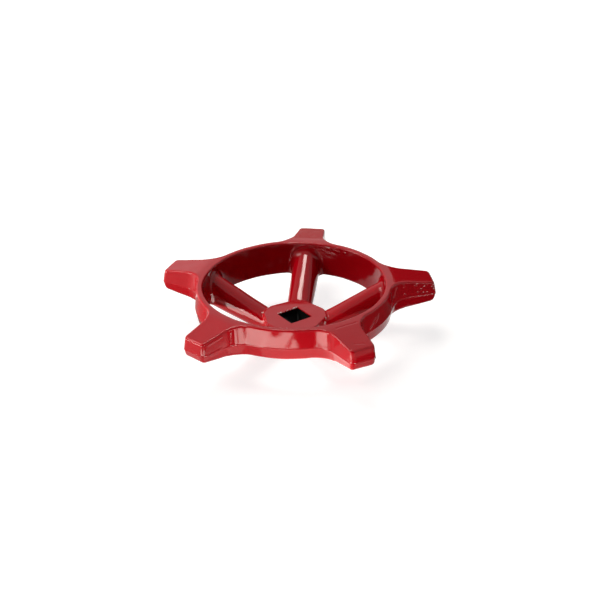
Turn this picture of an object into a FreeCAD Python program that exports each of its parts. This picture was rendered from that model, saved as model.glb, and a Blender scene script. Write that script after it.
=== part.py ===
import FreeCAD, Part
import math
import os

# Cast handwheel of a small valve: a tall lobed rim, sloping spokes and a low hub with a square hole.
# It is one casting. Its named regions are made one by one and meet face to face at flat joints.
# Lengths are millimetres and angles are degrees. Z is the axis of the wheel, z = 0 is the hub's
# flat underside, and X and Y run along the sides of the square hole.

# Layout
spoke_count = 5
first_spoke_angle = -23.9

# Rim, with its widest line where the two halves of the mould met
rim_top = 27.0
rim_height = 15.2
rim_inner_radius = 41.6
rim_wall = 2.8
rim_inner_draft = 4.7
parting_drop = 9.2
upper_draft = 5.0
lower_draft = 11.0
rim_top_edge_radius = 0.9
rim_inner_edge_radius = 0.8
rim_bottom_edge_radius = 1.5
rim_bottom_inner_edge_radius = 0.5

# Grip lobes, measured at the height of the rim's top. Their top bends down and their underside
# bends up at a little distance outside the rim, and the joint with the rim lies further out.
lobe_reach = 63.0
lobe_tip_bulge = 1.0
lobe_tip_width = 11.6
lobe_side_taper = 6.0
lobe_root_fillet = 11.5
lobe_corner_radius = 1.6
lobe_top_slope = 10.0
lobe_under_slope = 6.8
lobe_bend_radius = 12.0
top_bend_distance = 1.2
under_bend_distance = 2.2
lobe_joint_distance = 3.6

# Hub
hub_top = 11.0
hub_half_width = 14.3
hub_spoke_flat = 7.2
hub_draft = 5.0
hub_edge_radius = 0.6
hub_bottom_edge_radius = 1.0
square_hole = 11.0
square_corner_radius = 0.3

# Spokes: a crowned upper half over the parting line and a deeper lower half under it.
# Depths are taken from the hub's top face at one end and from the rim's top at the other, but the
# bottom's height at the hub is taken from the hub's underside.
ridge_depth_at_hub = 0.6
ridge_depth_at_rim = 4.9
parting_depth_at_hub = 2.9
parting_depth_at_rim = 12.4
bottom_height_at_hub = 2.1
bottom_depth_at_rim = 17.8
spoke_width_at_hub = 11.4
spoke_width_at_rim = 13.0
spoke_shoulder = 0.6
spoke_crown = 0.62
spoke_root_fillet = 3.0
spoke_hub_fillet = 1.5
runout_distance = 3.2
runout_parting_depth = 12.0
runout_bottom_depth = 14.8

# Values that follow from the ones above
spoke_angles = [first_spoke_angle + i * 360.0 / spoke_count for i in range(spoke_count)]
rim_bottom = rim_top - rim_height
parting_height = rim_top - parting_drop
rim_outer_radius = rim_inner_radius + rim_wall
lobe_joint = rim_outer_radius + lobe_joint_distance
parting_growth = parting_drop * math.tan(math.radians(upper_draft))
bottom_growth = parting_growth - (parting_height - rim_bottom) * math.tan(math.radians(lower_draft))
rim_face = rim_inner_radius - parting_depth_at_rim * math.tan(math.radians(rim_inner_draft))
spoke_start = hub_half_width + spoke_hub_fillet + hub_edge_radius
root_half_width = spoke_width_at_rim / 2.0 + spoke_root_fillet
spoke_end = math.sqrt((rim_face - spoke_root_fillet) ** 2 - root_half_width ** 2)
behind_wall = rim_face + rim_wall / 2.0
beyond = 10.0
touching = 0.01
level_face_angle = 25.0
along_axis = math.cos(math.radians(level_face_angle))
seam_angle = 180.0


def vec(x, y, z):
    return FreeCAD.Vector(x, y, z)


def turned(shape, angle):
    """A copy of a shape, turned about the wheel's axis."""
    copy = shape.copy()
    copy.rotate(vec(0, 0, 0), vec(0, 0, 1), angle)
    return copy


def arc(centre, radius, start, end):
    """The arc edge from one direction to another, by the shorter way round."""
    sweep = (end - start + math.pi) % (2 * math.pi) - math.pi
    points = []
    for share in (0.0, 0.5, 1.0):
        angle = start + share * sweep
        points.append(centre + vec(radius * math.cos(angle), radius * math.sin(angle), 0))
    return Part.Arc(*points).toShape(), points[0], points[2]


def rim_inner_at(height):
    return rim_inner_radius - (rim_top - height) * math.tan(math.radians(rim_inner_draft))


# Outline of the rim with its lobes

def lobed_outline(growth, bulge, height):
    """The closed outline of the rim and its lobes, moved outwards by growth, and at the tips by bulge too.

    Each root fillet keeps its centre as the outline grows, and each corner slides along the lobe's
    side by the bulge, so that the sides and the rim lie the same distance apart at two heights.
    """
    taper = math.radians(lobe_side_taper)
    side_normal = vec(math.sin(taper), math.cos(taper), 0)
    side_distance = side_normal.dot(vec(lobe_reach, lobe_tip_width / 2.0, 0))
    corner_x = lobe_reach - lobe_corner_radius
    corner_y = (side_distance - lobe_corner_radius - corner_x * side_normal.x) / side_normal.y
    root_from_axis = rim_outer_radius + lobe_root_fillet
    root_from_side = side_distance + lobe_root_fillet
    across = math.sqrt(root_from_axis ** 2 - root_from_side ** 2)
    root_angle = math.atan2(side_normal.y, side_normal.x) - math.atan2(across, root_from_side)
    root_x = root_from_axis * math.cos(root_angle)
    root_y = root_from_axis * math.sin(root_angle)
    normal_angle = math.pi / 2 - taper
    corner_x += bulge
    corner_y -= bulge * math.tan(taper)
    corner_radius = lobe_corner_radius + growth
    fillet_radius = lobe_root_fillet - growth
    rim_radius = rim_outer_radius + growth

    edges = []
    previous_end = None
    first_start = None
    for angle in spoke_angles:
        turn = math.radians(angle)
        lobe = FreeCAD.Rotation(vec(0, 0, 1), angle)
        corners = []
        for side in (-1, 1):
            corner_centre = lobe.multVec(vec(corner_x, side * corner_y, 0)) + vec(0, 0, height)
            root_centre = lobe.multVec(vec(root_x, side * root_y, 0)) + vec(0, 0, height)
            corner_arc = arc(corner_centre, corner_radius, turn, turn + side * normal_angle)
            root_arc = arc(root_centre, fillet_radius, turn + side * normal_angle + math.pi,
                           turn + side * root_angle + math.pi)
            corners.append((corner_arc, root_arc))
        (low_corner, low_root), (high_corner, high_root) = corners
        if previous_end is not None:
            start_angle = math.atan2(previous_end.y, previous_end.x)
            end_angle = math.atan2(low_root[2].y, low_root[2].x)
            edges.append(arc(vec(0, 0, height), rim_radius, start_angle, end_angle)[0])
        else:
            first_start = low_root[2]
        edges += [low_root[0], Part.makeLine(low_root[1], low_corner[2]), low_corner[0],
                  Part.makeLine(low_corner[1], high_corner[1]), high_corner[0],
                  Part.makeLine(high_corner[2], high_root[1]), high_root[0]]
        previous_end = high_root[2]
    start_angle = math.atan2(previous_end.y, previous_end.x)
    end_angle = math.atan2(first_start.y, first_start.x)
    edges.append(arc(vec(0, 0, height), rim_radius, start_angle, end_angle)[0])
    return Part.Wire(Part.__sortEdges__(edges))


def bent_profile(distance, level, slope, direction):
    """A cutter over (or under) one lobe: level at first, then bent down (or up) towards the tip.

    The profile is drawn in the plane through the lobe's axis and is as wide as the lobe's root.
    """
    half_bend = math.radians(slope) / 2.0
    tangent = lobe_bend_radius * math.tan(half_bend)
    incline = math.radians(slope)
    start = rim_outer_radius + distance
    far = lobe_reach + beyond
    inner = rim_outer_radius - rim_wall / 2.0
    bend_start = vec(start - tangent, 0, level)
    bend_end = vec(start + tangent * math.cos(incline), 0, level - direction * tangent * math.sin(incline))
    bend_middle = vec(start - tangent + lobe_bend_radius * math.sin(half_bend), 0,
                      level - direction * lobe_bend_radius * (1 - math.cos(half_bend)))
    tip = vec(far, 0, level - direction * (far - start) * math.tan(incline))
    outside = level + direction * beyond
    edges = [Part.makeLine(vec(inner, 0, level), bend_start),
             Part.Arc(bend_start, bend_middle, bend_end).toShape(),
             Part.makeLine(bend_end, tip),
             Part.makeLine(tip, vec(far, 0, outside)),
             Part.makeLine(vec(far, 0, outside), vec(inner, 0, outside)),
             Part.makeLine(vec(inner, 0, outside), vec(inner, 0, level))]
    face = Part.Face(Part.Wire(edges))
    half_width = rim_outer_radius * math.tan(math.pi / spoke_count)
    face.translate(vec(0, -half_width, 0))
    return face.extrude(vec(0, 2 * half_width, 0))


def ring_with_lobes():
    top = lobed_outline(0.0, 0.0, rim_top)
    parting = lobed_outline(parting_growth, lobe_tip_bulge, parting_height)
    bottom = lobed_outline(bottom_growth, 0.0, rim_bottom)
    upper = Part.makeLoft([parting, top], True, True)
    lower = Part.makeLoft([bottom, parting], True, True)
    body = upper.fuse(lower)
    core = Part.makeCone(rim_inner_at(rim_bottom - beyond), rim_inner_at(rim_top + beyond),
                         rim_height + 2 * beyond, vec(0, 0, rim_bottom - beyond))
    body = body.cut(core)
    for angle in spoke_angles:
        body = body.cut(turned(bent_profile(top_bend_distance, rim_top, lobe_top_slope, 1), angle))
        body = body.cut(turned(bent_profile(under_bend_distance, rim_bottom, lobe_under_slope, -1), angle))
    return body


def facing(body, direction):
    """The faces of a body that look up (direction 1) or down (direction -1)."""
    found = []
    for face in body.Faces:
        first_u, last_u, first_v, last_v = face.ParameterRange
        normal = face.normalAt((first_u + last_u) / 2.0, (first_v + last_v) / 2.0)
        if normal.z * direction > along_axis:
            found.append(face)
    return found


def border(faces):
    """The inner and the outer border edges of a patch of faces on the rim."""
    seen = {}
    for face in faces:
        for edge in face.Edges:
            seen.setdefault(edge.hashCode(), []).append(edge)
    inner = []
    outer = []
    for edges in seen.values():
        if len(edges) > 1:
            continue
        middle = edges[0].valueAt((edges[0].FirstParameter + edges[0].LastParameter) / 2.0)
        from_axis = math.hypot(middle.x, middle.y)
        if from_axis < rim_inner_radius + touching:
            inner.append(edges[0])
        else:
            outer.append(edges[0])
    return inner, outer


def rounded_ring():
    """The rim and its lobes in one, with all four edges rounded."""
    body = ring_with_lobes()
    for direction, side, radius in ((1, 0, rim_inner_edge_radius), (1, 1, rim_top_edge_radius),
                                    (-1, 0, rim_bottom_inner_edge_radius), (-1, 1, rim_bottom_edge_radius)):
        body = body.makeFillet(radius, border(facing(body, direction))[side])
    return body.Solids[0]


# Spokes

def along(station, at_hub, at_rim):
    """A size of the spoke that changes evenly from the hub's wall to the rim's wall."""
    share = (station - hub_half_width) / (rim_face - hub_half_width)
    return at_hub + share * (at_rim - at_hub)


def height_along(station, depth_at_hub, depth_at_rim):
    return along(station, hub_top - depth_at_hub, rim_top - depth_at_rim)


def spoke_section(station, half_width, ridge, parting, bottom):
    """One cross section: a crowned upper half and a deeper lower half, upright where they meet."""
    edges = []
    for crown in (ridge, bottom):
        shoulder = parting + spoke_shoulder * (crown - parting)
        for side in (1, -1):
            curve = Part.BezierCurve()
            curve.setPoles([vec(station, side * half_width, parting),
                            vec(station, side * half_width, shoulder),
                            vec(station, side * half_width * spoke_crown, crown),
                            vec(station, 0, crown)])
            edges.append(curve.toShape())
    return Part.Wire(Part.__sortEdges__(edges))


def section_at(station):
    return spoke_section(station,
                         along(station, spoke_width_at_hub, spoke_width_at_rim) / 2.0,
                         height_along(station, ridge_depth_at_hub, ridge_depth_at_rim),
                         height_along(station, parting_depth_at_hub, parting_depth_at_rim),
                         along(station, bottom_height_at_hub, rim_top - bottom_depth_at_rim))


def arm(near, far):
    """The stretch of a spoke between two distances from the axis."""
    return Part.makeLoft([section_at(near), section_at(far)], True, True)


def runout():
    """The spoke's last stretch, which narrows and runs out under the rim."""
    last = spoke_section(rim_outer_radius + runout_distance,
                         lobe_tip_width / 2.0,
                         rim_top - ridge_depth_at_rim,
                         rim_top - runout_parting_depth,
                         rim_top - runout_bottom_depth)
    return Part.makeLoft([section_at(behind_wall), last], True, True)


# Hub

def hub_outline(growth, height):
    """A ten-sided outline: a short side across each spoke and a longer one between two spokes."""
    size = (hub_half_width + growth) / hub_half_width
    points = []
    for angle in spoke_angles:
        turn = FreeCAD.Rotation(vec(0, 0, 1), angle)
        for side in (-1, 1):
            corner = turn.multVec(vec(hub_half_width, side * hub_spoke_flat / 2.0, 0))
            points.append(vec(corner.x * size, corner.y * size, height))
    return Part.makePolygon(points + [points[0]])


def hub_boss():
    shrink = hub_top * math.tan(math.radians(hub_draft))
    boss = Part.makeLoft([hub_outline(-shrink, 0.0), hub_outline(0.0, hub_top)], True, True)
    for direction, radius in ((-1, hub_bottom_edge_radius), (1, hub_edge_radius)):
        boss = boss.makeFillet(radius, [edge for face in facing(boss, direction) for edge in face.Edges])
    return boss.Solids[0]


def square_socket():
    side = square_hole
    block = Part.makeBox(side, side, hub_top + 2 * beyond, vec(-side / 2.0, -side / 2.0, -beyond))
    upright = [edge for edge in block.Edges if abs(edge.tangentAt(edge.FirstParameter).z) > along_axis]
    return block.makeFillet(square_corner_radius, upright)


def on_a_spoke(face):
    return max(math.hypot(vertex.X, vertex.Y) for vertex in face.Vertexes) > spoke_start - touching


def hub_with_arms():
    """The hub with the beginning of each spoke, a fillet all round each one, and the square hole."""
    arms = [turned(arm(hub_half_width / 2.0, spoke_start), angle) for angle in spoke_angles]
    body = hub_boss().fuse(arms).Solids[0]
    corners = []
    for edge in body.Edges:
        neighbours = [on_a_spoke(face) for face in body.ancestorsOfType(edge, Part.Face)]
        if True in neighbours and False in neighbours:
            corners.append(edge)
    return body.makeFillet(spoke_hub_fillet, corners).cut(square_socket()).Solids[0]


# Spoke roots

def slab(near, far, half_width, low, high):
    """A block across the first axis, from one distance from the wheel's axis to another."""
    return Part.makeBox(far - near, 2 * half_width, high - low, vec(near, -half_width, low))


def lining(half_width):
    """A strip of half the rim's wall behind one spoke, which goes on below the rim.

    The cones are turned so that their seam lies on the other side of the wheel.
    """
    low = rim_bottom - beyond
    high = rim_top - rim_inner_edge_radius
    cones = []
    for thickness in (rim_wall / 2.0, 0.0):
        cone = Part.makeCone(rim_inner_at(low) + thickness, rim_inner_at(high) + thickness,
                             high - low, vec(0, 0, low))
        cones.append(turned(cone, seam_angle))
    return cones[0].cut(cones[1]).common(slab(spoke_end, rim_outer_radius, half_width, low, high))


def round_the_spoke(edge):
    """Whether an edge is where the spoke meets the rim's inner wall, and not a border of the lining."""
    middle = edge.valueAt((edge.FirstParameter + edge.LastParameter) / 2.0)
    on_wall = abs(math.hypot(middle.x, middle.y) - rim_inner_at(middle.z)) < touching
    beside = abs(middle.y) < root_half_width
    lowest = rim_top - bottom_depth_at_rim - spoke_root_fillet
    highest = rim_top - ridge_depth_at_rim + touching
    return on_wall and beside and lowest < middle.z < highest


def spoke_root():
    """The end of the first spoke in the rim's wall, filleted all round, with its run-out under the rim.

    The fillet follows the wall down to a little above where the rim's lower edge starts to round off.
    """
    half_width = root_half_width + spoke_root_fillet
    level = rim_bottom + 2 * rim_bottom_inner_edge_radius
    end = arm(spoke_end, behind_wall)
    body = lining(half_width).fuse(end).Solids[0]
    body = body.makeFillet(spoke_root_fillet, [edge for edge in body.Edges if round_the_spoke(edge)])
    above = body.common(slab(spoke_end, rim_outer_radius, half_width, level, rim_top))
    below = end.fuse(runout()).common(slab(spoke_end, lobe_reach, half_width, -beyond, level))
    return above.fuse(below).removeSplitter().Solids[0]


# The parts

def share_of_the_rim():
    """The rounded rim and lobe between the planes midway to the next spokes, with the spoke along X."""
    far = lobe_reach + beyond
    across = far * math.tan(math.pi / spoke_count)
    corners = [vec(0, 0, -beyond), vec(far, -across, -beyond), vec(far, across, -beyond)]
    wedge = Part.Face(Part.makePolygon(corners + [corners[0]])).extrude(vec(0, 0, rim_top + 2 * beyond))
    return turned(rounded_ring(), -first_spoke_angle).common(wedge).Solids[0]


def save(solid, name):
    print(name, solid.isValid(), round(solid.Volume, 1), len(solid.Faces))
    solid.exportStep("parts/" + name + ".step")


def main():
    os.makedirs("parts", exist_ok=True)
    share = share_of_the_rim()
    half_width = lobe_root_fillet + lobe_tip_width / 2.0
    outside = slab(lobe_joint, lobe_reach + beyond, half_width, rim_bottom - beyond, rim_top + beyond)
    lobe = share.common(outside).Solids[0]
    wall = share.cut(outside).fuse(spoke_root()).Solids[0]
    spoke = arm(spoke_start, spoke_end)
    walls = []
    for number, angle in enumerate(spoke_angles, 1):
        save(turned(lobe, angle), "grip_lobe_%d" % number)
        save(turned(spoke, angle), "spoke_%d" % number)
        walls.append(turned(wall, angle))
    save(walls[0].fuse(walls[1:]).removeSplitter().Solids[0], "rim")
    save(hub_with_arms(), "hub")


main()
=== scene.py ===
import math

import bmesh
import bpy
import numpy as np
from mathutils import Matrix, Vector


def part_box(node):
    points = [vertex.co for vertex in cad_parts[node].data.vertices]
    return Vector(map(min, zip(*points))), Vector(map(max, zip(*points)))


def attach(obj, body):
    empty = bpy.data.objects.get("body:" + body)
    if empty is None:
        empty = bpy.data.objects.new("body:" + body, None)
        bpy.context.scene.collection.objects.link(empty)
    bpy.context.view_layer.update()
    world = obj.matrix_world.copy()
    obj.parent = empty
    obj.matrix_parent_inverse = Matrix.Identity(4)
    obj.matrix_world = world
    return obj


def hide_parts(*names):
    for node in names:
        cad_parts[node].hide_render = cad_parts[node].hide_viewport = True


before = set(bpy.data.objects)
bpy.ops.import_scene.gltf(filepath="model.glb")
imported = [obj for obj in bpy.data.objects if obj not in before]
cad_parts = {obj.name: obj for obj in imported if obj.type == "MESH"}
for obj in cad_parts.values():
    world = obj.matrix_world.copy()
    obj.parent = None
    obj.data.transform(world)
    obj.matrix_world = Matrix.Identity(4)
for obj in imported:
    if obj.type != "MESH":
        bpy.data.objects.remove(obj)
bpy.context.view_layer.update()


# Camera
# A long lens looks down on the wheel from the front and the left, slightly rolled.
# It aims near the middle of the rim's top plane.
camera_azimuth = math.radians(-33.6)
camera_elevation = math.radians(27.83)
camera_roll = math.radians(1.29)
camera_offset = Vector((0.00276, -0.0073, 1.2375))
lens_focal_length = 163.56
sensor_width = 36
rim_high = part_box("rim")[1]
camera_data = bpy.data.cameras.new("camera")
camera_data.lens = lens_focal_length
camera_data.sensor_width = sensor_width
camera = bpy.data.objects.new("camera", camera_data)
bpy.context.scene.collection.objects.link(camera)
camera.matrix_world = (Matrix.Translation((0, 0, rim_high.z))
                       @ Matrix.Rotation(camera_azimuth, 4, "Z")
                       @ Matrix.Rotation(math.pi / 2 - camera_elevation, 4, "X")
                       @ Matrix.Rotation(-camera_roll, 4, "Z")
                       @ Matrix.Translation(camera_offset))
bpy.context.scene.camera = camera
bpy.context.scene.view_settings.view_transform = "Standard"


# Rim
# The rim is a tall ring of cast metal, poured in one with the rest of the wheel. Its inner face leans
# outwards, and its outer face leans both ways from the line where the two halves of the mould met.
mm = 0.001
rim_height = 15.2
rim_top = rim_high.z / mm
rim_bottom = rim_top - rim_height
rim_inner_radius = 41.6
rim_outer_radius = 44.4
inner_draft = math.tan(math.radians(4.7))
parting_depth = 9.2
parting_height = rim_top - parting_depth
upper_draft = math.tan(math.radians(5.0))
lower_draft = math.tan(math.radians(11.0))
parting_softness = 0.12
rim_top_outer_edge = 0.9
rim_top_inner_edge = 0.8
rim_bottom_outer_edge = 1.5
rim_bottom_inner_edge = 0.5


def round_edge(a, b, radius):
    """Distance outside two faces of one body, with their common edge rounded off."""
    corner = np.hypot(np.maximum(a + radius, 0), np.maximum(b + radius, 0)) - radius
    return np.where((a > -radius) & (b > -radius), corner, np.maximum(a, b))


def round_root(a, b, radius):
    """Distance outside two joined bodies, with a fillet in the corner between them."""
    corner = radius - np.hypot(np.maximum(radius - a, 0), np.maximum(radius - b, 0))
    return np.where((a < radius) & (b < radius), corner, np.minimum(a, b))


def soft_bend(distance, softness):
    """Zero before a bend and the distance past it after, with a soft turn between."""
    return (distance + np.sqrt(distance ** 2 + softness ** 2)) / 2


def leaned_out(z):
    """How far the outer face stands outside the outline of the rim's top at a height."""
    past_parting = soft_bend(parting_height - z, parting_softness)
    return (rim_top - z) * upper_draft - past_parting * (upper_draft + lower_draft)


# Grip lobes
# Five lobes stand out from the rim, one beyond each spoke, so that a hand can turn the wheel hard.
# They are cast with it. Their sides run into it in wide sweeps, and their ends bulge at half height.
lobe_reach = 63.0
lobe_tip_half_width = 5.8
lobe_taper = math.radians(6.0)
lobe_corner = 1.6
lobe_sweep = 11.5
lobe_fullness = 1.15
top_before_bend = 1.2
top_bend_start = rim_outer_radius + top_before_bend
top_slope = math.tan(math.radians(10.0))
under_before_bend = 2.2
under_bend_start = rim_outer_radius + under_before_bend
under_slope = math.tan(math.radians(6.8))
bend_softness = 2.0
side_out = (math.sin(lobe_taper), math.cos(lobe_taper))
side_distance = side_out[0] * lobe_reach + side_out[1] * lobe_tip_half_width
corner_x = lobe_reach - lobe_corner
corner_across = (side_distance - lobe_corner - corner_x * side_out[0]) / side_out[1]
sweep_from_axis = rim_outer_radius + lobe_sweep
sweep_from_side = side_distance + lobe_sweep
sweep_angle = math.pi / 2 - lobe_taper - math.acos(sweep_from_side / sweep_from_axis)
sweep_x = sweep_from_axis * math.cos(sweep_angle)
sweep_across = sweep_from_axis * math.sin(sweep_angle)


def outside_outline(x, across, z):
    """Distance outside the outline of rim and lobe, seen from above, with x along the spoke."""
    from_parting = z - parting_height
    half_height = np.where(from_parting > 0, rim_top - parting_height, parting_height - rim_bottom)
    full = lobe_fullness * (1 - (from_parting / half_height) ** 2)
    side = side_out[0] * x + side_out[1] * across - side_distance
    tip = x - lobe_reach - full
    past_x = x - corner_x - full
    past_across = across - corner_across + full * math.tan(lobe_taper)
    in_corner = (past_across > 0) & (side_out[0] * past_across < side_out[1] * past_x)
    lobe = np.where(in_corner, np.hypot(past_x, past_across) - lobe_corner, np.maximum(side, tip))
    ring = np.hypot(x, across) - rim_outer_radius
    from_x = x - sweep_x
    from_across = across - sweep_across
    in_sweep = ((side_out[0] * from_across - side_out[1] * from_x > 0)
                & (math.sin(sweep_angle) * from_x - math.cos(sweep_angle) * from_across > 0))
    return np.where(in_sweep, lobe_sweep - np.hypot(from_x, from_across), np.minimum(lobe, ring))


def outside_rim(x, across, z):
    """Distance outside the rim with its lobes."""
    outer = outside_outline(x, across, z) - leaned_out(z)
    inner = rim_inner_radius - (rim_top - z) * inner_draft - np.hypot(x, across)
    top = z - rim_top + top_slope * soft_bend(x - top_bend_start, bend_softness)
    under = rim_bottom + under_slope * soft_bend(x - under_bend_start, bend_softness) - z
    return np.maximum.reduce([round_edge(outer, top, rim_top_outer_edge),
                              round_edge(inner, top, rim_top_inner_edge),
                              round_edge(outer, under, rim_bottom_outer_edge),
                              round_edge(inner, under, rim_bottom_inner_edge)])


# Spokes
# Five cast spokes slope up from the hub to the rim. Their section is nearly an oval, and grows
# outwards. Each widens into the rim's wall with a fillet all round, and runs out under the rim.
hub_half_width = 14.3
root_depth = 12.4
root_distance = rim_inner_radius - root_depth * inner_draft
spoke_at_hub = {"ridge": 10.3, "widest": 6.6, "underside": -0.4, "half_width": 5.7}
spoke_at_root = {"ridge": 23.2, "widest": 14.3, "underside": 8.8, "half_width": 6.5}
spoke_at_end = {"ridge": 23.2, "widest": 15.0, "underside": 12.2, "half_width": 5.8}
overlap_with_hub = 3.0
spoke_start = hub_half_width - overlap_with_hub
reach_past_rim = 3.2
spoke_end = rim_outer_radius + reach_past_rim
wall_half_thickness = 1.4
wall_middle = root_distance + wall_half_thickness
spoke_squareness = 2.1
spoke_root_fillet = 2.6
least_share = 0.05


def outside_spoke(x, across, z):
    """Distance outside a spoke, which narrows from the middle of the rim's wall outwards."""
    along = (np.maximum(x, spoke_start) - hub_half_width) / (root_distance - hub_half_width)
    run_out = np.clip((x - wall_middle) / (spoke_end - wall_middle), 0, 1)
    here = {}
    for size, at_hub in spoke_at_hub.items():
        straight = at_hub + along * (spoke_at_root[size] - at_hub)
        here[size] = straight + run_out * (spoke_at_end[size] - straight)
    above = z > here["widest"]
    half_height = np.where(above, here["ridge"] - here["widest"], here["widest"] - here["underside"])
    wide = np.abs(across) / here["half_width"]
    high = np.abs(z - here["widest"]) / half_height
    share = (wide ** spoke_squareness + high ** spoke_squareness) ** (1 / spoke_squareness)
    share = np.maximum(share, least_share)
    steepness = np.hypot((wide / share) ** (spoke_squareness - 1) / here["half_width"],
                         (high / share) ** (spoke_squareness - 1) / half_height)
    return np.maximum.reduce([(share - 1) / steepness, x - spoke_end, spoke_start - x])


# Hub
# The hub is a low cast boss with a short side across each spoke and a longer one between two spokes.
# The valve stem's square end fits its plain square hole, and a nut bears on its flat top face.
spoke_count = 5
half_share = math.pi / spoke_count
hub_top = 11.0
hub_side_distance = 13.685
hub_draft = math.tan(math.radians(5.0))
hub_top_edge = 0.45
hub_bottom_edge = 1.0
hub_corner = 0.5


def outside_hub(x, across, z):
    """Distance outside the hub, without its square hole."""
    narrower = (hub_top - z) * hub_draft
    across_spoke = x - hub_half_width + narrower
    between = x * math.cos(half_share) + across * math.sin(half_share) - hub_side_distance + narrower
    sides = round_edge(across_spoke, between, hub_corner)
    return np.maximum(round_edge(sides, z - hub_top, hub_top_edge), round_edge(sides, -z, hub_bottom_edge))


# Cast skin
# The sand mould leaves the wheel in one skin of metal, with every corner softened. Here the solids'
# own skin is divided finely, and each of its points then settles on the casting's true surface.
first_spoke_angle = math.radians(-23.9)
spoke_hub_fillet = 1.2
square_half_side = 5.5
square_edge = 0.35
skin_mesh_size = 0.38
joint_tolerance = 0.02
probe_step = 0.02
smoothing_rounds = 3
steps_between = 2
last_steps = 3


def outside_casting(points):
    """Distance outside the whole casting, for rows of x, y and z in millimetres."""
    x, y, z = points.T
    from_axis = np.hypot(x, y)
    angle = np.arctan2(y, x) - first_spoke_angle
    angle = np.abs(angle - 2 * half_share * np.round(angle / (2 * half_share)))
    along = from_axis * np.cos(angle)
    across = from_axis * np.sin(angle)
    spoke = outside_spoke(along, across, z)
    body = round_root(outside_rim(along, across, z), spoke, spoke_root_fillet)
    body = round_root(body, outside_hub(along, across, z), spoke_hub_fillet)
    body = round_edge(body, -z, hub_bottom_edge)
    hole = square_half_side - np.maximum(np.abs(x), np.abs(y))
    return round_edge(body, hole, square_edge)


def growth_of(distance, points):
    """How fast a distance or a height grows along each axis, at each point."""
    growth = np.empty_like(points)
    for axis in range(3):
        step = np.zeros(3)
        step[axis] = probe_step
        growth[:, axis] = (distance(points + step) - distance(points - step)) / (2 * probe_step)
    return growth


def unit(directions):
    """Directions brought to the length of one."""
    return directions / np.linalg.norm(directions, axis=1, keepdims=True)


def settle(points, steps):
    """Move points straight onto the casting's surface."""
    for _ in range(steps):
        growth = growth_of(outside_casting, points)
        steepness = np.linalg.norm(growth, axis=1, keepdims=True)
        points = points - growth / steepness * (outside_casting(points)[:, None] / steepness)
    return points


solids = bmesh.new()
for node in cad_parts.values():
    solids.from_mesh(node.data)
bmesh.ops.remove_doubles(solids, verts=solids.verts, dist=joint_tolerance * mm)
solid_skin = bpy.data.objects.new("solid_skin", bpy.data.meshes.new("solid_skin"))
solids.to_mesh(solid_skin.data)
solids.free()
bpy.context.scene.collection.objects.link(solid_skin)
divided = solid_skin.modifiers.new("divided", "REMESH")
divided.mode = "VOXEL"
divided.voxel_size = skin_mesh_size * mm
divided.use_smooth_shade = True
skin = bpy.data.meshes.new_from_object(solid_skin.evaluated_get(bpy.context.evaluated_depsgraph_get()))
bpy.data.objects.remove(solid_skin)
point_count = len(skin.vertices)
places = np.empty(point_count * 3)
skin.vertices.foreach_get("co", places)
places = places.reshape(-1, 3) / mm
edge_ends = np.empty(len(skin.edges) * 2, int)
skin.edges.foreach_get("vertices", edge_ends)
one_end, other_end = edge_ends.reshape(-1, 2).T
neighbour_count = np.bincount(edge_ends, minlength=point_count)


def evened(points):
    """Move each point halfway to the middle of its neighbours."""
    middles = np.empty_like(points)
    for axis in range(3):
        sums = (np.bincount(one_end, points[other_end, axis], point_count)
                + np.bincount(other_end, points[one_end, axis], point_count))
        middles[:, axis] = sums / neighbour_count
    return (points + middles) / 2


for _ in range(smoothing_rounds):
    places = evened(settle(places, steps_between))
places = settle(places, last_steps)
outwards = unit(growth_of(outside_casting, places))


# Runs, pimples, wear and painted glints
# Nothing was trimmed after the cast. The faces wave a little, a line of flash marks the mould's joint,
# and runs, drips and grains of sand stand under the paint. The paint is chipped where things touch,
# and a few grains by the hub and inside the rim carry bright specks that are painted glints.
relief_seed = 11
chance = np.random.default_rng(relief_seed)
wave_count = 28
typical_waviness = 0.03
peak_over_typical = 1.4
wave_height = typical_waviness / math.sqrt(wave_count) * peak_over_typical
shortest_wave = 6
longest_wave = 24
wave_directions = unit(chance.normal(size=(wave_count, 3)))
wave_directions *= (2 * math.pi / chance.uniform(shortest_wave, longest_wave, wave_count))[:, None]
wave_starts = chance.uniform(0, 2 * math.pi, wave_count)
flash_height = 0.10
flash_half_width = 0.35
flash_margin = 1.0
flash_start = rim_outer_radius - flash_margin
# A run is given by its two ends, its half width and its height, and a grain by its middle instead.
runs_on_fourth_lobe = [((-58.3, -19.0, 22.5), (-50.8, -18.1, 23.9), 0.35, 0.16),
                       ((-59.1, -19.5, 17.7), (-51.2, -18.7, 18.6), 0.30, 0.10)]
grooves_in_fifth_lobe = [((-8.7, -45.7, 26.8), (2.2, -46.4, 26.8), 0.35, -0.16),
                         ((-7.8, -59.0, 24.5), (-3.7, -60.9, 24.3), 0.30, -0.14)]
bead_round_second_spoke = [((21.6, 34.6, 20.0), (21.8, 34.8, 22.2), 0.45, 0.20),
                           ((21.8, 34.8, 22.2), (23.9, 33.7, 24.2), 0.45, 0.20),
                           ((23.9, 33.7, 24.2), (28.7, 29.9, 25.1), 0.45, 0.22)]
wrinkles_beside_second_spoke = [((32.0, 26.4, 25.9), (35.1, 21.9, 24.6), 0.45, 0.28),
                                ((33.0, 25.0, 24.2), (36.0, 20.2, 22.4), 0.45, 0.24),
                                ((35.4, 21.4, 25.6), (37.2, 18.2, 24.6), 0.50, 0.26)]
drips_on_outer_wall = [((11.3, -43.6, 19.4), (15.7, -42.0, 22.6), 0.45, 0.20),
                       ((14.0, -42.5, 19.0), (18.5, -41.0, 23.4), 0.40, 0.18),
                       ((28.3, -35.2, 17.6), (32.0, -31.8, 20.4), 0.50, 0.26),
                       ((32.0, -31.8, 20.4), (35.0, -29.0, 21.4), 0.50, 0.26),
                       ((35.0, -29.0, 20.4), (37.9, -27.4, 24.2), 0.50, 0.26)]
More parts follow.
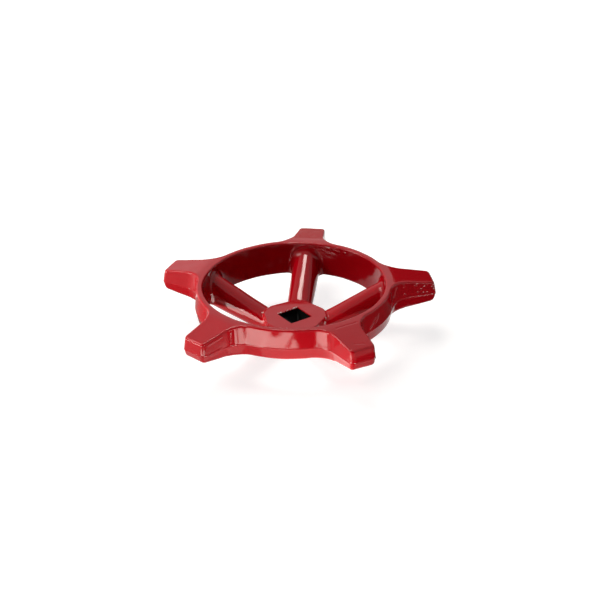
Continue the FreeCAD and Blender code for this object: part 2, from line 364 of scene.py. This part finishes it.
drip_beside_second_spoke = [((30.6, 27.7, 23.8), (31.2, 27.2, 20.6), 0.45, 0.20)]
runs = (runs_on_fourth_lobe + grooves_in_fifth_lobe + bead_round_second_spoke
        + wrinkles_beside_second_spoke + drips_on_outer_wall + drip_beside_second_spoke)
row_by_fourth_lobe = [((-45.8, -18.0, 23.8), 0.40, 0.20), ((-45.9, -18.1, 22.6), 0.35, 0.20),
                      ((-46.0, -18.2, 21.4), 0.40, 0.20), ((-46.2, -18.3, 20.0), 0.35, 0.20),
                      ((-43.4, -18.5, 25.8), 0.50, 0.25)]
pimples_on_first_lobe = [((47.6, -28.7, 23.2), 0.45, 0.26), ((49.8, -29.6, 20.9), 0.50, 0.28),
                         ((52.4, -30.7, 19.0), 0.45, 0.26), ((51.2, -30.2, 22.3), 0.40, 0.24),
                         ((52.6, -30.4, 22.9), 0.40, 0.22), ((48.3, -29.3, 19.7), 0.45, 0.24),
                         ((50.6, -30.0, 19.4), 0.40, 0.20), ((42.1, -27.0, 24.8), 0.50, 0.30),
                         ((42.2, -27.3, 23.6), 0.40, 0.20), ((42.3, -27.5, 19.8), 0.50, 0.30)]
grain_inside_rim = [((-25.5, 30.3, 17.0), 0.50, 0.30)]
grains_round_hub = [((-9.6, 11.7, 10.0), 0.50, 0.30), ((-5.3, 12.4, 10.6), 0.45, 0.25),
                    ((10.9, -9.5, 10.4), 0.50, 0.30), ((9.6, -10.4, 8.3), 0.50, 0.30),
                    ((7.2, -11.6, 9.9), 0.45, 0.25)]
grains_beside_second_spoke = [((38.5, 15.4, 24.9), 0.50, 0.25), ((37.2, 18.4, 26.0), 0.40, 0.20),
                              ((34.3, 23.2, 22.6), 0.50, 0.25)]
grains = (row_by_fourth_lobe + pimples_on_first_lobe + grain_inside_rim + grains_round_hub
          + grains_beside_second_spoke)
# A place of chips and painted glints is given by its middle and its radius. Some of the points in it
# show bright metal: lost paint at the lobe tips, and a painted glint on the grains by the hub and inside
# the rim.
chip_and_glint_places = [((56.2, -31.0, 21.6), 1.6), ((-0.6, -64.4, 21.6), 0.9), ((-1.0, -64.7, 17.6), 0.9),
               ((-9.6, 11.7, 10.0), 0.7), ((-5.3, 12.4, 10.6), 0.6), ((10.9, -9.5, 10.4), 0.7),
               ((9.6, -10.4, 8.3), 0.7), ((-25.5, 30.3, 17.0), 0.5)]
chip_and_glint_share = 0.22
square_wear_half_width = 0.45
square_chipped_share = 0.25


def hump(distance, half_width):
    """One at the middle of a rounded hump, and next to nothing at twice its half width."""
    return np.exp(-(distance / half_width) ** 2)


def from_line(points, start, end):
    """Distance of points from the line between two ends."""
    start = np.array(start)
    way = np.array(end) - start
    share = np.clip((points - start) @ way / (way @ way), 0, 1)
    return np.linalg.norm(points - start - share[:, None] * way, axis=1)


def relief(points):
    """How far the real skin stands out from the true surface, in millimetres."""
    height = np.zeros(len(points))
    for direction, start in zip(wave_directions, wave_starts):
        height += wave_height * np.sin(points @ direction + start)
    outside = np.hypot(points[:, 0], points[:, 1]) > flash_start
    height += outside * flash_height * hump(points[:, 2] - parting_height, flash_half_width)
    for start, end, half_width, rise in runs:
        height += rise * hump(from_line(points, start, end), half_width)
    for middle, half_width, rise in grains:
        height += rise * hump(np.linalg.norm(points - np.array(middle), axis=1), half_width)
    return height


rise = relief(places)
tilts = growth_of(relief, places)
tilts -= outwards * (tilts * outwards).sum(axis=1, keepdims=True)
places += outwards * rise[:, None]
places[:, 2] = np.maximum(places[:, 2], 0)
outwards = unit(outwards - tilts)

# Points that show bright metal: chips at the lobe tips and along the square's edge, and painted glints on
# the grains.
chips_and_glints = np.zeros(point_count)
for middle, radius in chip_and_glint_places:
    within = np.linalg.norm(places - np.array(middle), axis=1) < radius
    chips_and_glints = np.maximum(chips_and_glints, (chance.random(point_count) < chip_and_glint_share) * within)
from_edge = np.hypot(places[:, 1] - square_half_side, places[:, 2] - hub_top)
on_edge = (from_edge < square_wear_half_width) * (np.abs(places[:, 0]) < square_half_side)
chips_and_glints = np.maximum(chips_and_glints, (chance.random(point_count) < square_chipped_share) * on_edge)

skin.vertices.foreach_set("co", (places * mm).ravel())
skin.attributes.new("outwards", "FLOAT_VECTOR", "POINT").data.foreach_set("vector", outwards.ravel())
skin.attributes.new("chips_and_glints", "FLOAT", "POINT").data.foreach_set("value", chips_and_glints)


# Pieces of the casting
# The one skin is parted where the regions of the casting meet, and each part is closed there flat.
# The parts keep the whole skin's shading, so that no joint shows in the paint.
joint_margin = 2.0
hub_corner_margin = 4.0
strip_half_width = 14.0
beyond_lobes = 2 * lobe_reach
cut_tolerance = 1e-8
spoke_angles = [first_spoke_angle + 2 * half_share * i for i in range(spoke_count)]
spoke_directions = [Vector((math.cos(angle), math.sin(angle), 0)) for angle in spoke_angles]


def reach_of(name, direction):
    """The nearest and the farthest distance of a solid from the axis, along one direction."""
    distances = [vertex.co.dot(direction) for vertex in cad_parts[name].data.vertices]
    return min(distances), max(distances)


hub_joint, rim_joint = reach_of("spoke_1", spoke_directions[0])
lobe_joint = reach_of("grip_lobe_1", spoke_directions[0])[0]
face_centres = np.empty(len(skin.polygons) * 3)
skin.polygons.foreach_get("center", face_centres)
face_centres = face_centres.reshape(-1, 3)


def near_line(direction, low, high):
    """Which faces of the skin lie about between two distances along one spoke's line."""
    along = face_centres @ np.array(direction)
    across = face_centres @ np.array((-direction.y, direction.x, 0))
    within = (along > low - joint_margin * mm) & (along < high + joint_margin * mm)
    return within & (np.abs(across) < strip_half_width * mm)


def part_of_skin(name, keep, cuts):
    """One region's part of the skin, cut off at its joints and closed there.

    The strip is a dict and not a set, because a set's order changes from run to run.
    """
    skin.polygons.foreach_set("select", keep)
    part = bmesh.new()
    part.from_mesh(skin)
    bmesh.ops.delete(part, geom=[face for face in part.faces if not face.select], context="FACES")
    for direction, joint, outer_side in cuts:
        sideways = Vector((-direction.y, direction.x, 0))
        strip = {}
        for face in part.faces:
            centre = face.calc_center_median()
            if abs(centre.dot(sideways)) < strip_half_width * mm and centre.dot(direction) > 0:
                strip.update(dict.fromkeys([face, *face.edges, *face.verts]))
        bmesh.ops.bisect_plane(part, geom=list(strip), dist=cut_tolerance, plane_co=direction * joint,
                               plane_no=direction, clear_outer=outer_side, clear_inner=not outer_side)
    open_edges = [edge for edge in part.edges if edge.is_boundary]
    lids = bmesh.ops.holes_fill(part, edges=open_edges, sides=0)["faces"]
    for face in part.faces:
        face.smooth = True
    for lid in bmesh.ops.triangulate(part, faces=lids)["faces"]:
        lid.smooth = False
    mesh = bpy.data.meshes.new(name + "_casting")
    part.to_mesh(mesh)
    part.free()
    return mesh


def shade_with_skin(mesh):
    """Shade each corner of a part as on the whole skin, and its lids flat."""
    directions = np.empty(len(mesh.vertices) * 3)
    mesh.attributes["outwards"].data.foreach_get("vector", directions)
    corner_points = np.empty(len(mesh.loops), int)
    mesh.loops.foreach_get("vertex_index", corner_points)
    corners = directions.reshape(-1, 3)[corner_points]
    for face in mesh.polygons:
        if not face.use_smooth:
            corners[face.loop_start:face.loop_start + face.loop_total] = face.normal
    mesh.normals_split_custom_set(corners.tolist())


from_axis = np.hypot(face_centres[:, 0], face_centres[:, 1])
parts = {"rim": (from_axis > rim_joint - joint_margin * mm,
                 [(direction, rim_joint, False) for direction in spoke_directions]
                 + [(direction, lobe_joint, True) for direction in spoke_directions]),
         "hub": (from_axis < hub_joint + hub_corner_margin * mm,
                 [(direction, hub_joint, True) for direction in spoke_directions])}
for number, direction in enumerate(spoke_directions, 1):
    parts["spoke_%d" % number] = (near_line(direction, hub_joint, rim_joint),
                                  [(direction, hub_joint, False), (direction, rim_joint, True)])
    parts["grip_lobe_%d" % number] = (near_line(direction, lobe_joint, beyond_lobes * mm),
                                      [(direction, lobe_joint, False)])
pieces = []
for name, (keep, cuts) in parts.items():
    mesh = part_of_skin(name, keep, cuts)
    shade_with_skin(mesh)
    piece = bpy.data.objects.new(name + "_casting", mesh)
    bpy.context.scene.collection.objects.link(piece)
    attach(piece, "root")
    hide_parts(name)
    pieces.append(piece)
bpy.data.meshes.remove(skin)


# Red paint
# A thick coat of gloss red covers the whole casting, with a fine orange peel in it. The square hole
# is bare metal below its upper edge, darkened to near black as painted shade. The chips show bright
# metal, and the same bright colour on the grains by the hub and inside the rim is a painted glint.
class Paint:
    """A value in a tree of nodes, or its empty start. Sums and products of numbers add Math nodes."""

    def __init__(self, tree, socket=None):
        self.tree = tree
        self.socket = socket

    def node(self, kind, settings, sockets, output=0):
        """Add a node, with its settings first and then the values or links of its sockets."""
        added = self.tree.nodes.new(kind)
        for name, value in settings.items():
            setattr(added, name, value)
        for name, value in sockets.items():
            if isinstance(value, Paint):
                self.tree.links.new(value.socket, added.inputs[name])
            else:
                added.inputs[name].default_value = value
        return Paint(self.tree, added.outputs[output])

    def reckoned(self, operation, other=0.0):
        """This number after one step of arithmetic, with another number where the step takes two."""
        return self.node("ShaderNodeMath", {"operation": operation}, {0: self, 1: other})

    def __add__(self, other):
        return self.reckoned("ADD", other)

    def __mul__(self, other):
        return self.reckoned("MULTIPLY", other)

    __radd__ = __add__
    __rmul__ = __mul__

    def blend(self, first, second):
        """A colour that goes from the first to the second as this number goes from zero to one."""
        return self.node("ShaderNodeMix", {"data_type": "RGBA"}, {0: self, 6: first, 7: second}, 2)

    def feed(self, shader, socket):
        """Link this value to a socket of a shader."""
        self.tree.links.new(self.socket, shader.inputs[socket])


darker_red = (0.39, 0.001, 0.006, 1)
lighter_red = (0.44, 0.002, 0.008, 1)
# The square hole's colour: bare metal darkened to near black, a painted shade in the recess.
hole_bare_in_painted_shade = (0.006, 0.009, 0.008, 1)
# The bright colour of the chips, and of the painted glints on the grains.
bright_metal_and_glint = (0.75, 0.72, 0.70, 1)
peel_scale = 900.0
cloud_scale = 60.0
peel_bump = {"Strength": 0.15, "Distance": 0.0001}
paint_refraction = 1.3
least_roughness = 0.06
peel_roughness = 0.06
hole_shade_beside_face = 0.2
hole_shade_below_top = 0.5
paint = bpy.data.materials.new("red_paint")
paint.use_nodes = True
gloss = paint.node_tree.nodes["Principled BSDF"]
gloss.inputs["IOR"].default_value = paint_refraction
start = Paint(paint.node_tree)
place = start.node("ShaderNodeTexCoord", {}, {}, "Object")
peel = start.node("ShaderNodeTexNoise", {}, {"Vector": place, "Scale": peel_scale, "Detail": 2.0})
cloud = start.node("ShaderNodeTexNoise", {}, {"Vector": place, "Scale": cloud_scale, "Detail": 3.0})
sideways, forwards, height = (start.node("ShaderNodeSeparateXYZ", {}, {0: place}, axis) for axis in "XYZ")
off_axis = sideways.reckoned("ABSOLUTE").reckoned("MAXIMUM", forwards.reckoned("ABSOLUTE"))
# Below the hole's upper edge, the walls take the near-black painted shade.
in_hole = (off_axis.reckoned("LESS_THAN", (square_half_side + hole_shade_beside_face) * mm)
           * height.reckoned("LESS_THAN", (hub_top - hole_shade_below_top) * mm))
chip_and_glint_mask = start.node("ShaderNodeAttribute", {"attribute_name": "chips_and_glints"}, {}, "Fac")
colour = cloud.blend(darker_red, lighter_red)
colour = in_hole.blend(colour, hole_bare_in_painted_shade)
# Chips and painted glints take the bright colour.
colour = chip_and_glint_mask.blend(colour, bright_metal_and_glint)
colour.feed(gloss, "Base Color")
(least_roughness + peel_roughness * peel).feed(gloss, "Roughness")
start.node("ShaderNodeBump", {}, {**peel_bump, "Height": peel}).feed(gloss, "Normal")
for piece in pieces:
    piece.data.materials.append(paint)


# Floor and light
# The wheel lies on a plain white floor in a white room. Low strips of light stand in front and at the
# left, soft boxes hang at the left, behind and overhead, and small panels lie on the floor close by.
# Dark and grey cards keep the white room out of some of the paint's reflections.
floor_size = 6.0
floor_grey = 0.45
floor_roughness = 0.9
floor_glow = 0.8
room_light = 0.06


def by_ray(tree, spread, seen):
    """A grey with one value for spread light, and another for what is seen, mirrored or seen through."""
    camera, glossy, through = (Paint(tree).node("ShaderNodeLightPath", {}, {}, ray)
                               for ray in ("Is Camera Ray", "Is Glossy Ray", "Is Transmission Ray"))
    is_seen = camera + glossy + through
    return is_seen.blend((spread, spread, spread, 1), (seen, seen, seen, 1))


def matt_plane(name, grey, roughness, **placing):
    """A flat sheet of the studio with a plain grey finish."""
    bpy.ops.mesh.primitive_plane_add(**placing)
    sheet = bpy.context.object
    sheet.name = name
    finish = bpy.data.materials.new(name)
    finish.use_nodes = True
    shader = finish.node_tree.nodes["Principled BSDF"]
    shader.inputs["Base Color"].default_value = (grey, grey, grey, 1)
    shader.inputs["Roughness"].default_value = roughness
    sheet.data.materials.append(finish)
    return sheet


floor = matt_plane("floor", floor_grey, floor_roughness, size=floor_size)
floor_tree = floor.active_material.node_tree
floor_shader = floor_tree.nodes["Principled BSDF"]
floor_shader.inputs["Emission Strength"].default_value = 1.0
by_ray(floor_tree, 0.0, floor_glow).feed(floor_shader, "Emission Color")
world = bpy.data.worlds.new("world")
world.use_nodes = True
background = world.node_tree.nodes["Background"]
background.inputs["Strength"].default_value = 1.0
by_ray(world.node_tree, room_light, 1.0).feed(background, "Color")
bpy.context.scene.world = world

to_camera = Vector((math.sin(camera_azimuth), -math.cos(camera_azimuth), 0))
to_right = Vector((math.cos(camera_azimuth), math.sin(camera_azimuth), 0))
warm_white = (1.0, 0.96, 0.90)


def spot(right, front, up):
    """A place given in metres to the right of the wheel's axis, to the front and up."""
    return to_right * right + to_camera * front + Vector((0, 0, up))


wheel_middle = spot(0, 0, 0.02)


def lamp(name, place, size, radiance, target=wheel_middle, spread=True, mirrored=True):
    """A soft box of a given brightness, whose light is spread by the paint, mirrored in it, or both."""
    width, height = size
    light = bpy.data.lights.new(name, "AREA")
    light.shape = "RECTANGLE"
    light.size = width
    light.size_y = height
    light.color = warm_white
    light.energy = radiance * math.pi * width * height
    box = bpy.data.objects.new(name, light)
    box.location = place
    box.rotation_euler = (target - place).to_track_quat("-Z", "Y").to_euler()
    box.visible_camera = False
    box.visible_diffuse = spread
    box.visible_glossy = mirrored
    bpy.context.scene.collection.objects.link(box)


def floor_panel(name, right, front, size, radiance, **seen_as):
    """A lamp that lies on the floor and shines straight up."""
    above_floor = 0.001
    lamp(name, spot(right, front, above_floor), size, radiance, spot(right, front, 1), **seen_as)


low_strip = (0.3, 0.036)
lamp("left_box", spot(-0.61, 0, 0.53), (0.36, 0.36), 7.6)
lamp("back_box", spot(-0.16, -0.43, 0.68), (0.4, 0.4), 8.3, mirrored=False)
lamp("low_front_right", spot(0.32, 0.51, 0.02), low_strip, 30)
lamp("low_front_left", spot(-0.42, 0.42, 0.02), low_strip, 34)
lamp("low_left", spot(-0.6, 0, 0.02), low_strip, 60)
floor_panel("front_apron", -0.002, 0.052, (0.068, 0.028), 1.5)
lamp("overhead", spot(-0.07, -0.22, 0.99), (0.34, 0.18), 28, spread=False)
floor_panel("front_panel_left", -0.0765, 0.109, (0.077, 0.042), 13, spread=False)
floor_panel("front_panel_middle", -0.026, 0.100, (0.024, 0.060), 13, spread=False)
floor_panel("front_panel_right", -0.0085, 0.087, (0.011, 0.034), 13, spread=False)
under_left_spoke = spot(-0.026, -0.006, 0.0105)
lamp("under_panel", spot(-0.029, 0.006, 0.0015), (0.032, 0.040), 12, under_left_spoke, spread=False)
floor_panel("front_fill", -0.005, 0.099, (0.08, 0.04), 3.2, mirrored=False)


def dark_card(name, place, size, grey, lean=0.0):
    """A matt card that shows only in reflections and casts no shadow. It lies flat, or is turned up."""
    card = matt_plane(name, grey, 1.0, size=1, location=place, rotation=(lean, 0, camera_azimuth))
    card.scale = (*size, 1)
    card.visible_camera = False
    card.visible_diffuse = False
    card.visible_shadow = False


upright = math.pi / 2
leaning_over = math.radians(55)
card_lift = 0.0005
dark_card("card_right", spot(0.105, 0.022, card_lift), (0.09, 0.175), 0.08)
dark_card("card_front", spot(-0.03, 0.102, card_lift), (0.17, 0.066), 0.12)
dark_card("card_left", spot(-0.066, -0.015, card_lift), (0.045, 0.05), 0.35)
dark_card("card_behind_right", spot(0.505, -0.6, 0.165), (0.8, 0.33), 0.02, upright)
dark_card("card_front_high", spot(0, 0.75, 0.55), (1.6, 0.8), 0.05, leaning_over)
dark_card("card_behind", spot(-0.12, -0.61, 0.06), (0.4, 0.14), 0.5, upright)
